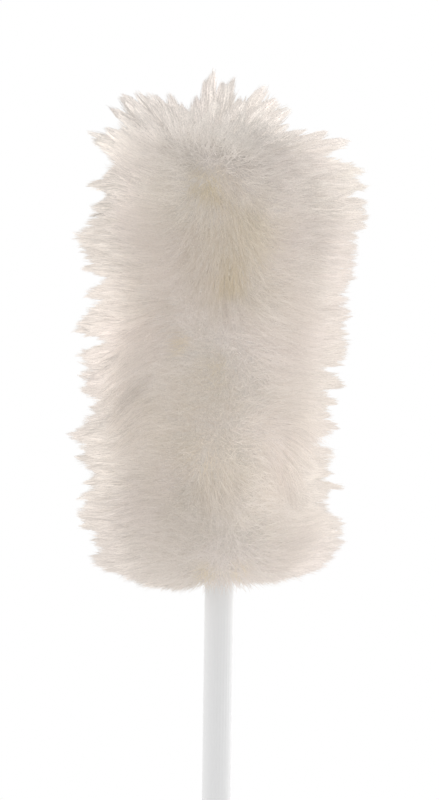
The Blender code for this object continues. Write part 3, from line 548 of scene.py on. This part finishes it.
def wool(name, root, tip, glow, spread, crimped=0.5, roughness=0.9):
    material, tree, shader = new_material(name)
    where = here(tree)
    along = put(tree, "ShaderNodeAttribute", attribute_name="along")
    # the strands' own tone, with painted shade in the crevices and painted light at the edges
    tone = put(tree, "ShaderNodeAttribute", attribute_name="tone")
    # darker at the root than at the tip: partly the wool's own colour, partly painted shade deep
    # in the wool
    colour = tint(tree, along.outputs["Fac"], root, tip)
    for place, reach, depth in YOLK_STAINS:
        stain = result(put(tree, "ShaderNodeGroup", {
            "Place": metres(*place), "Reach": reach / 1000.0}, node_tree=stain_and_shade_mask))
        colour = tint(tree, calc(tree, "MULTIPLY", stain, depth), colour, (0.70, 0.59, 0.40))
    blush = ranged(tree, clouds(tree, where, 21.0), 0.45, 0.75, 0.0, 0.5)
    colour = tint(tree, blush, colour, (0.83, 0.74, 0.70))
    shade = calc(tree, "MULTIPLY_ADD", tone.outputs["Fac"], spread, 1.0 - spread * 0.45)
    # painted shade and painted light from the patches
    masks = [(stain_and_shade_mask, {"Place": metres(*place), "Reach": reach / 1000.0}, depth)
             for place, reach, depth in PAINTED_SHADE_AND_LIGHT_PATCHES]
    # painted shadow where one lock lies over the next
    masks += [(lock_shadow_mask, {"From": metres(*start), "To": metres(*end), "Breadth": breadth / 1000.0},
               depth) for start, end, breadth, depth in PAINTED_LOCK_SHADOWS]
    for group, given, depth in masks:
        mask = result(put(tree, "ShaderNodeGroup", given, node_tree=group))
        shade = calc(tree, "MULTIPLY", shade, calc(tree, "MULTIPLY_ADD", mask, depth, 1.0))
    grain = clouds(tree, where, 1300.0, Detail=1.0)
    shade = calc(tree, "MULTIPLY", shade, calc(
        tree, "MULTIPLY_ADD", grain, crimped, 1.0 - 0.5 * crimped))
    toned = vec(tree, "MULTIPLY", colour, shade)
    fill(tree, shader, {"Base Color": toned, "Roughness": roughness, "Specular IOR Level": 0.2,
                        "Sheen Weight": 0.1, "Sheen Roughness": 0.4,
                        "Sheen Tint": (1.0, 0.95, 0.90)})
    true_face = result(put(tree, "ShaderNodeNewGeometry"), "True Normal")
    through = put(tree, "ShaderNodeBsdfTranslucent", {"Color": toned, "Normal": true_face})
    both = put(tree, "ShaderNodeMixShader", {0: glow, 1: result(shader), 2: result(through)})
    fill(tree, tree.nodes["Material Output"], {"Surface": result(both)})
    return material, tree, shader, where


def undercoat_wool():
    dull = (0.69, 0.625, 0.555)
    material, tree, shader, where = wool("undercoat_wool", dull, dull, 0.0, 0.0, roughness=0.95)
    crimp = clouds(tree, where, 420.0, Detail=3.0, Distortion=1.5)
    fill(tree, shader, {"Normal": bumped(tree, crimp, 0.0012, 0.5)})
    return material


UNDERCOAT_INSET, CROWN_INSET = 0.013, 0.020
# the bore round the wound skin, and how far the two undercoats stand clear of it and each other
STRIP_BORE, CROWN_BORE = 0.01075, 0.0105
STRIP_CLEAR, CROWN_CLEAR = 0.0005, 0.0004
BORE_RISE = 0.004
inner_wool = undercoat_wool()
section = wool_section(SIDE_RINGS)
strip_rings = [wool_ring(wool_point, share, height, UNDERCOAT_INSET)
               for share, height in section if height < BROW]
strip_rings += [circle(STRIP_BORE, STRIP_TOP - STRIP_CLEAR),
                circle(STRIP_BORE, section[0][1] + BORE_RISE)]
crown_foot = STRIP_TOP + CROWN_CLEAR
crown_rings = [[Vector((0.0, 0.0, crown_foot))], circle(CROWN_BORE, crown_foot)]
crown_rings += [wool_ring(wool_point, share, height, CROWN_INSET)
                for share, height in section if height > BROW]
for coat_piece, node in ((lathe("strip_undercoat", strip_rings, closed=True), "fleece"),
                         (lathe("crown_undercoat", crown_rings), "crown_fleece")):
    coat_piece.data.materials.append(inner_wool)
    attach(coat_piece, "mast")
    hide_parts(node)

# Locks: the long outer wool. Each fibre grows away from the core and ends in a fine tip, and the
# fibres of a small patch cling together as a pointed lock, a little crimped, with stray ends. The
# locks at both sides and on the crown are the ones that the duster shows against the light.
STRAND_SIDES = 3
STRAND_RINGS = (0.0, 0.28, 0.54, 0.78)
# every strand has its own square of the colour map, in rows of this many
MAP_COLUMNS = 96.0
# the most locks and wisps that a square metre can take
MOST_LOCKS, MOST_WISPS = 40000.0, 900000.0
# where the locks are laid over: place, how far round, and which way, in mm
SWIRLS = [((-40, -52, 729), 22, (-10, 0, -10)), ((-59, -29, 712), 24, (-8, 0, -12)),
          ((-51, -42, 690), 24, (-10, 0, -12)), ((-67, -10, 674), 18, (-8, 0, -6)),
          ((-55, -36, 834), 26, (-8, 0, 8)), ((-41, -51, 806), 28, (-8, 0, 3)),
          ((38, -54, 696), 22, (10, 0, 2)), ((54, -37, 682), 18, (8, 0, -10)),
          ((37, -55, 665), 20, (-4, 0, -14)), ((44, -49, 652), 18, (-6, 0, -12)),
          ((31, -58, 740), 30, (8, 0, -5)), ((0, -66, 790), 30, (0, 0, -12)),
          ((-5, -66, 762), 24, (0, 0, -10)), ((-3, -66, 652), 16, (6, 0, -12)),
          ((50, -43, 616), 24, (12, 0, 4)), ((10, 66, 750), 40, (8, 0, -8)),
          ((-20, 62, 670), 40, (-8, 0, 6))]


def one_strand():
    turns = [math.tau * side / STRAND_SIDES for side in range(STRAND_SIDES)]
    points = [(math.cos(turn), math.sin(turn), t) for t in STRAND_RINGS for turn in turns]
    points.append((0.0, 0.0, 1.0))
    faces = [tuple(reversed(range(STRAND_SIDES)))]
    spread = [[(0.05, 0.02), (0.5, 0.02), (0.95, 0.02)]]
    for ring, (low, high) in enumerate(zip(STRAND_RINGS, (*STRAND_RINGS[1:], 1.0))):
        for side in range(STRAND_SIDES):
            a, b = ring * STRAND_SIDES + side, ring * STRAND_SIDES + (side + 1) % STRAND_SIDES
            u, v = side / STRAND_SIDES, (side + 1) / STRAND_SIDES
            if high < 1.0:
                faces.append((a, b, b + STRAND_SIDES, a + STRAND_SIDES))
                spread.append([(u, low), (v, low), (v, high), (u, high)])
            else:
                faces.append((a, b, len(points) - 1))
                spread.append([(u, low), (v, low), ((u + v) / 2, high)])
    mesh = new_mesh("one_strand", points, faces)
    mesh.attributes.new("along", "FLOAT", "POINT").data.foreach_set(
        "value", [t for _, _, t in points])
    mesh.attributes.new("around", "FLOAT_VECTOR", "POINT").data.foreach_set(
        "vector", [c for x, y, _ in points for c in (x, y, 0.0)])
    mesh.attributes.new("strand_map", "FLOAT2", "CORNER").data.foreach_set(
        "vector", [c for face in spread for corner in face for c in corner])
    return new_object("one_strand", mesh)


def wool_growth():
    tree, ask, made = new_group("wool_growth", "GeometryNodeTree", {
        "Outline": ("Geometry", None), "Strand": ("Object", None), "Wool": ("Material", None),
        "Lowest": ("Float", 0.0), "Highest": ("Float", 1.0), "Low Core": ("Float", LOW_CORE),
        "High Core": ("Float", HIGH_CORE), "Crown Middle": ("Float", CROWN_MIDDLE),
        "Strands": ("Float", 550000.0), "Thickness": ("Float", 0.00028), "Seed": ("Int", 3),
        "Lock Spacing": ("Float", 0.0048), "Lock Rise": ("Float", 0.003),
        "Rooted Length": ("Float", 0.024), "Crimp": ("Float", 0.0017), "Bend": ("Float", 0.006),
        "Combed": ("Float", 0.009), "Least Hold": ("Float", 0.7), "Loose Hold": ("Float", 0.6),
        "Front Hold": ("Float", 0.05), "Crevice Shade": ("Float", 0.20),
        "Crevice Shade From": ("Float", 0.25), "Tousle": ("Float", 0.010),
        "Wisp Spacing": ("Float", 0.0014), "Wisp Hold": ("Float", 0.5),
        "Streaks": ("Float", 0.10), "Unevenness": ("Float", 0.006)}, {"Locks": "Geometry"})

    def get(kind, values=None, out=None, **settings):
        return result(put(tree, kind, values, **settings), out)

    def num(operation, *values):
        return calc(tree, operation, *values)

    def times(first, *others):
        for other in others:
            first = num("MULTIPLY", first, other)
        return first

    def add(first, *others):
        for other in others:
            first = vec(tree, "ADD", first, other)
        return first

    def less(first, second):
        return vec(tree, "SUBTRACT", first, second)

    def swayed(where, scale, **more):
        return less(clouds(tree, where, scale, "Color", **more), (0.5, 0.5, 0.5))

    def mixed(share, a, b):
        return get("ShaderNodeMix", {"Factor": share, "A": a, "B": b}, data_type="VECTOR")

    def part(vector, axis):
        return get("ShaderNodeSeparateXYZ", {"Vector": vector}, axis)

    def chance(low, high, seed, sort="FLOAT"):
        return get("FunctionNodeRandomValue", {"Min": low, "Max": high, "Seed": seed},
                   data_type=sort)

    def any_way(seed):
        return chance((-1, -1, -1), (1, 1, 1), seed, "FLOAT_VECTOR")

    def keep(geometry, name, value, sort="FLOAT_VECTOR", domain="POINT"):
        return get("GeometryNodeStoreNamedAttribute", {
            "Geometry": geometry, "Name": name, "Value": value}, data_type=sort, domain=domain)

    def kept(name, sort="FLOAT_VECTOR"):
        return get("GeometryNodeInputNamedAttribute", {"Name": name}, data_type=sort)

    def spaced(distance, most):
        return get("GeometryNodeDistributePointsOnFaces", {
            "Mesh": ask["Outline"], "Distance Min": distance, "Density Max": most,
            "Seed": ask["Seed"]}, "Points", distribute_method="POISSON")

    # The wool grows away from the core: forward in the middle, and sidelong at the edges
    place = get("GeometryNodeInputPosition")
    height = part(place, "Z")
    core = get("ShaderNodeCombineXYZ", {
        "X": ranged(tree, height, 0.79, 0.82, 0.0, ask["Crown Middle"]),
        "Z": get("ShaderNodeClamp", {
            "Value": height, "Min": ask["Low Core"], "Max": ask["High Core"]})})
    growth = vec(tree, "NORMALIZE", less(place, core))
    forward = part(growth, "Y")
    sidelong = num("SQRT", num("SUBTRACT", 1.0, times(forward, forward)))

    # Locks stand at even distances, each with its tip a little further out
    gathered = ranged(tree, height, 0.600, 0.625, 0.12)
    rise = times(ask["Lock Rise"], gathered, chance(0.1, 1.0, 21))
    locks = spaced(ask["Lock Spacing"], MOST_LOCKS)
    locks = keep(locks, "lock_tip", add(place, add(
        scaled(tree, growth, rise), scaled(tree, any_way(22), 0.0015))))
    locks = keep(locks, "hold", chance(ask["Least Hold"], 1.0, 23), "FLOAT")
    locks = keep(locks, "lock_base", place)

    # Wisps of a few strands each, closer together
    even = ranged(tree, sidelong, 0.5, 0.95, -1.0, -0.5)
    uneven = scaled(tree, growth, chance(times(ask["Unevenness"], even), 0.001, 31))
    loose = scaled(tree, any_way(32), ranged(tree, sidelong, 0.3, 0.9, ask["Tousle"], 0.002))
    wisps = spaced(ask["Wisp Spacing"], MOST_WISPS)
    wisps = keep(wisps, "wisp_base", place)
    wisps = keep(wisps, "wisp_tip", add(place, add(uneven, loose)))
    wisps = keep(wisps, "wisp_tone", chance(0.0, 1.0, 38), "FLOAT")

    # Strands of this band, each with the lock and the wisp that it belongs to
    roots = get("GeometryNodeDistributePointsOnFaces", {
        "Mesh": ask["Outline"], "Density": ask["Strands"], "Seed": ask["Seed"]}, "Points",
        distribute_method="RANDOM")
    divided = num("ADD", height, num(
        "MULTIPLY_ADD", clouds(tree, place, 70.0, Detail=3.0), 0.030, -0.015))
    outside = num("MAXIMUM", num("LESS_THAN", divided, ask["Lowest"]),
                  num("GREATER_THAN", divided, ask["Highest"]))
    roots = get("GeometryNodeDeleteGeometry", {"Geometry": roots, "Selection": outside},
                domain="POINT")

    def own(points, names):
        index = get("GeometryNodeSampleNearest", {"Geometry": points, "Sample Position": place},
                    domain="POINT")
        return [get("GeometryNodeSampleIndex", {
            "Geometry": points, "Value": kept(name, sort), "Index": index}, data_type=sort)
            for name, sort in names.items()]

    lock_tip, lock_base, hold = own(locks, {
        "lock_tip": "FLOAT_VECTOR", "lock_base": "FLOAT_VECTOR", "hold": "FLOAT"})
    wisp_tip, wisp_base, wisp_tone = own(wisps, {
        "wisp_tip": "FLOAT_VECTOR", "wisp_base": "FLOAT_VECTOR", "wisp_tone": "FLOAT"})

    # A strand's tip leans to the tips of its wisp and its lock, most of all at the sides
    shown = ranged(tree, sidelong, 0.35, 0.9, ask["Front Hold"])
    wild = scaled(tree, any_way(39), 0.0012)
    own_tip = mixed(times(ask["Wisp Hold"], shown),
                    add(place, add(uneven, add(wild, loose))), wisp_tip)
    strayed = num("GREATER_THAN", chance(0.0, 1.0, 33), 0.04)
    share = times(times(hold, chance(ask["Loose Hold"], 1.0, 34)),
                  times(shown, strayed, ranged(tree, height, 0.598, 0.620, 0.2)))
    tip = mixed(share, own_tip, lock_tip)
    root = add(place, scaled(tree, growth, times(ask["Rooted Length"], -1.0)))
    half = add(mixed(0.58, root, mixed(0.5, place, wisp_base)), scaled(tree, any_way(35), 0.001))

    # The wool drifts, is combed away from the middle and is laid over at the swirls
    drifts = scaled(tree, swayed(place, 19.0, Roughness=0.35), times(ask["Bend"], 4.0))
    sideways = num("ADD", part(place, "X"), num(
        "MULTIPLY_ADD", clouds(tree, place, 24.0, Detail=1.0), 0.06, -0.03))
    sideways = get("ShaderNodeClamp", {"Value": times(sideways, 40.0), "Min": -1.0, "Max": 1.0})
    pushed = add(drifts, get("ShaderNodeCombineXYZ", {"X": times(sideways, ask["Combed"])}))
    for middle, reach, push in SWIRLS:
        far = vec(tree, "DISTANCE", place, metres(*middle), out="Value")
        near = ranged(tree, far, reach * 0.0013, reach * 0.0004, 0.0, 1.5, "SMOOTHSTEP")
        pushed = add(pushed, scaled(tree, metres(*push), near))
    outwards = scaled(tree, growth, vec(tree, "DOT_PRODUCT", pushed, growth, out="Value"))
    sweep = scaled(tree, less(pushed, outwards), ranged(tree, sidelong, 0.75, 0.97, 1.0, 0.2))
    for name, value in (("sweep", sweep), ("root", root), ("half", half), ("tip", tip),
                        ("growth", growth), ("across", any_way(36))):
        roots = keep(roots, name, value)

    # Tones run in streaks, as lines on the crown; painted shade darkens crevices between locks
    off_middle = num("DIVIDE", vec(tree, "DISTANCE", place, lock_base, out="Value"),
                     ask["Lock Spacing"])
    crevice_shade = ranged(tree, off_middle, ask["Crevice Shade From"], 0.70, curve="SMOOTHSTEP")
    crevice_shade = times(crevice_shade, shown, ask["Crevice Shade"])
    streaks = clouds(tree, vec(tree, "MULTIPLY", place, (60.0, 110.0, 330.0)), 1.0)
    fan = ranged(tree, height, CROWN_FROM, CROWN_FROM + CROWN_BLEND)
    clump = num("ADD", times(streaks, num("SUBTRACT", 1.0, fan)),
                times(clouds(tree, growth, 30.0), fan))
    clump = ranged(tree, clump, 0.32, 0.68)
    lines = num("ABSOLUTE", num("SUBTRACT", clouds(tree, growth, 11.0), 0.5))
    lines = ranged(tree, lines, 0.0, 0.05, num("MULTIPLY_ADD", fan, -0.7, 1.0))
    own_tone = num("MULTIPLY_ADD", wisp_tone, 0.7, times(chance(0.0, 1.0, 37), 0.3))
    own_tone = times(own_tone, num("SUBTRACT", 1.0, ask["Streaks"]))
    shade = times(num("MULTIPLY_ADD", clump, ask["Streaks"], own_tone),
                  times(lines, num("SUBTRACT", 1.0, crevice_shade)))
    leftward = num("MULTIPLY_ADD", part(place, "X"), -6.0, 1.05)
    depth = ranged(tree, sidelong, 0.4, 0.95, 0.10, num(
        "MULTIPLY_ADD", fan, -0.6, num("ADD", leftward, 0.5)))
    # painted light: sidelong strands at the edges get a lighter tone, a little more on the crown
    painted_edge_light = ranged(tree, sidelong, 0.75, 1.0, 0.5, num("MULTIPLY_ADD", fan, 0.06, 0.62))
    shade = num("MULTIPLY_ADD", num("SUBTRACT", shade, 0.5), depth, painted_edge_light)
    # the strand's own tone together with its painted shade and painted light
    roots = keep(roots, "tone", shade, "FLOAT")
    roots = keep(roots, "number", get("GeometryNodeInputIndex"), "INT")

    # Each strand bends from its root past its half way point to its tip, and crimps
    strand = get("GeometryNodeObjectInfo", {"Object": ask["Strand"]}, "Geometry")
    grown = get("GeometryNodeInstanceOnPoints", {"Points": roots, "Instance": strand})
    grown = get("GeometryNodeRealizeInstances", {"Geometry": grown})
    t = kept("along", "FLOAT")
    rooted, middle, ended = kept("root"), kept("half"), kept("tip")
    path = mixed(t, mixed(t, rooted, middle), mixed(t, middle, ended))
    path = add(path, scaled(tree, kept("sweep"), num("POWER", t, 2.2)))
    wave = scaled(tree, swayed(path, 280.0, Detail=1.0), times(t, 4.0, ask["Crimp"]))
    runs = vec(tree, "NORMALIZE", less(ended, rooted))
    one = vec(tree, "NORMALIZE", vec(tree, "CROSS_PRODUCT", runs, kept("across")))
    two = vec(tree, "CROSS_PRODUCT", runs, one)
    around = kept("around")
    ring = add(scaled(tree, one, part(around, "X")), scaled(tree, two, part(around, "Y")))
    taper = num("MULTIPLY_ADD", num("POWER", t, 1.4), -0.75, 1.0)
    girth = scaled(tree, ring, times(taper, ask["Thickness"]))
    grown = get("GeometryNodeSetPosition", {
        "Geometry": grown, "Position": add(path, add(wave, girth))})
    frontal = part(kept("growth"), "Y")
    facing = mixed(num("MULTIPLY_ADD", times(frontal, frontal), -0.28, 0.5), kept("growth"), ring)
    grown = keep(grown, "facing", vec(tree, "NORMALIZE", facing))

    number = kept("number", "INT")
    corner = get("ShaderNodeCombineXYZ", {
        "X": num("MODULO", number, MAP_COLUMNS),
        "Y": num("FLOOR", num("DIVIDE", number, MAP_COLUMNS))})
    square = add(corner, vec(tree, "MULTIPLY_ADD", kept("strand_map"), (0.8, 0.8, 0.0),
                             (0.1, 0.1, 0.0)))
    grown = keep(grown, "OFBake", scaled(tree, square, 1.0 / MAP_COLUMNS), "FLOAT2", "CORNER")
    fill(tree, made, {"Locks": get("GeometryNodeSetMaterial", {
        "Geometry": grown, "Material": ask["Wool"]})})
    return tree


def set_inputs(modifier, tree, values):
    for item in tree.interface.items_tree:
        if item.item_type == "SOCKET" and item.in_out == "INPUT" and item.name in values:
            modifier[item.identifier] = values[item.name]


DOME = dome_reach()
outline = lathe("wool_outline", [wool_ring(tufted_point, share, height)
                                 for share, height in wool_section(FINE_RINGS, CROWN_RINGS)])
strand, growing = one_strand(), wool_growth()
long_wool = wool("long_wool", (0.59, 0.53, 0.472), (0.815, 0.751, 0.692), 0.75, 0.36, 0.30)[0]
shoulder_wool = wool("shoulder_wool", (0.615, 0.55, 0.48), (0.87, 0.808, 0.742), 0.65, 0.68)[0]
crown_wool = wool("crown_wool", (0.615, 0.55, 0.485), (0.892, 0.834, 0.776), 0.65, 0.95, 1.1)[0]
SHOULDER = {"Lock Spacing": 0.0070, "Bend": 0.003, "Combed": 0.004, "Tousle": 0.008,
            "Crevice Shade": 0.35, "Streaks": 0.3, "Wisp Spacing": 0.0017, "Wisp Hold": 0.65,
            "Wool": shoulder_wool}
CROWN = {"Lock Spacing": 0.0095, "Lock Rise": 0.004, "Rooted Length": 0.026, "Crimp": 0.0014,
         "Bend": 0.003, "Combed": 0.0, "Tousle": 0.006, "Unevenness": 0.010,
         "Thickness": 0.00024, "Least Hold": 0.75, "Loose Hold": 0.75, "Crevice Shade": 0.75,
         "Crevice Shade From": 0.36, "Streaks": 0.4, "Wisp Spacing": 0.0022, "Wisp Hold": 0.85,
         "Seed": 7, "Wool": crown_wool}
BANDS = [0.560, 0.604, 0.629, 0.654, 0.679, 0.704, 0.728, 0.752, 0.776, 0.799, 0.822, BROW,
         0.8535, 0.9]
names = [f"strip_locks_{i}" for i in range(1, 12)] + ["crown_locks_1", "crown_locks_2"]
for lowest, highest, name in zip(BANDS, BANDS[1:], names):
    crowned = name.startswith("crown")
    values = {"Strand": strand, "Lowest": lowest, "Highest": highest, "Wool": long_wool}
    if crowned or name in ("strip_locks_10", "strip_locks_11"):
        values.update(CROWN if crowned else SHOULDER)
    modifier = outline.modifiers.new(name, "NODES")
    modifier.node_group = growing
    set_inputs(modifier, growing, values)
    depsgraph = bpy.context.evaluated_depsgraph_get()
    mesh = bpy.data.meshes.new_from_object(outline.evaluated_get(depsgraph))
    outline.modifiers.remove(modifier)
    mesh.name = name
    facing = [0.0] * (len(mesh.vertices) * 3)
    mesh.attributes["facing"].data.foreach_get("vector", facing)
    mesh.normals_split_custom_set_from_vertices(list(zip(*[iter(facing)] * 3)))
    for spare in ("facing", "sweep", "growth", "root", "half", "tip", "across", "around",
                  "number", "strand_map"):
        mesh.attributes.remove(mesh.attributes[spare])
    locks = new_object(name, mesh)
    locks.visible_shadow = locks.visible_diffuse = locks.visible_transmission = False
    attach(locks, "mast")
    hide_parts("crown_fleece" if crowned else "fleece")
for helper in (outline, strand):
    bpy.data.objects.remove(helper)

# Floor: pale and round, and the duster stands on it. It keeps the shadow, and everything past
# its edge is the plain white of the room.
FLOOR_REACH, FLOOR_SIDES = 3.0, 64
floor_mesh = bpy.data.meshes.new("floor")
floor_mesh.from_pydata(circle(FLOOR_REACH, 0.0, FLOOR_SIDES), [], [tuple(range(FLOOR_SIDES))])
floor = new_object("floor", floor_mesh)
floor_white, floor_tree, floor_shader = new_material("floor_white")
floor_spots = clouds(floor_tree, here(floor_tree), 3.0)
fill(floor_tree, floor_shader, {"Roughness": 0.8, "Base Color": tint(
    floor_tree, floor_spots, (0.93, 0.93, 0.93), (0.95, 0.95, 0.95))})
floor_mesh.materials.append(floor_white)

# Room: even pale light from all round, and plain white where it is looked at or where something
# shiny mirrors it
AMBIENT = 0.64
room = bpy.data.worlds.new("room")
room.use_nodes = True
bpy.context.scene.world = room
room_tree = room.node_tree
rays = put(room_tree, "ShaderNodeLightPath").outputs
seen = calc(room_tree, "MAXIMUM", rays["Is Camera Ray"], calc(
    room_tree, "MAXIMUM", rays["Is Glossy Ray"], rays["Is Transmission Ray"]))
fill(room_tree, room_tree.nodes["Background"], {"Color": tint(
    room_tree, seen, (AMBIENT, AMBIENT, AMBIENT * 1.02), (1.0, 1.0, 1.0))})

# Lamps: two soft boxes at the left and two at the right, a little in front and behind, and the
# strongest one far behind the duster, where it lights the edges of the wool through
BOX_BREADTH, BOX_HEIGHT = 1.2, 1.56
LIT_MIDDLE = Vector((0.0, 0.0, 0.7))
SOFT_BOXES = {"left_front_box": ((-1.4, -1.0, 0.95), 5.5),
              "left_back_box": ((-1.3, 0.9, 0.95), 4.5),
              "right_box": ((1.5, -0.1, 0.95), 6.5),
              "right_back_box": ((1.2, 1.0, 0.95), 7.3),
              "back_box": ((0.0, 2.4, 1.0), 14.0)}
for name, (place, power) in SOFT_BOXES.items():
    lamp = bpy.data.lights.new(name, "AREA")
    lamp.shape, lamp.size, lamp.size_y, lamp.energy = "RECTANGLE", BOX_BREADTH, BOX_HEIGHT, power
    box = new_object(name, lamp)
    box.location = place
    box.rotation_euler = (LIT_MIDDLE - Vector(place)).to_track_quat("-Z", "Y").to_euler()
    box.visible_camera = False

# Camera: level and straight on from far off, so that the sides of the tube stay parallel, and
# turned a little about its own axis, because the duster leans in the picture
PICTURE_HEIGHT = 0.4414
PICTURE_ACROSS, PICTURE_UP = -0.0013, 0.6958
PICTURE_LEAN = -0.8
DISTANCE = 2.5
eye = bpy.data.cameras.new("eye")
eye.sensor_fit, eye.sensor_height = "VERTICAL", 36.0
eye.lens = eye.sensor_height * DISTANCE / PICTURE_HEIGHT
camera = new_object("eye", eye)
camera.location = (PICTURE_ACROSS, -DISTANCE, PICTURE_UP)
camera.rotation_euler = (math.radians(90.0), math.radians(PICTURE_LEAN), 0.0)
bpy.context.scene.camera = camera
bpy.context.scene.view_settings.view_transform = "Standard"
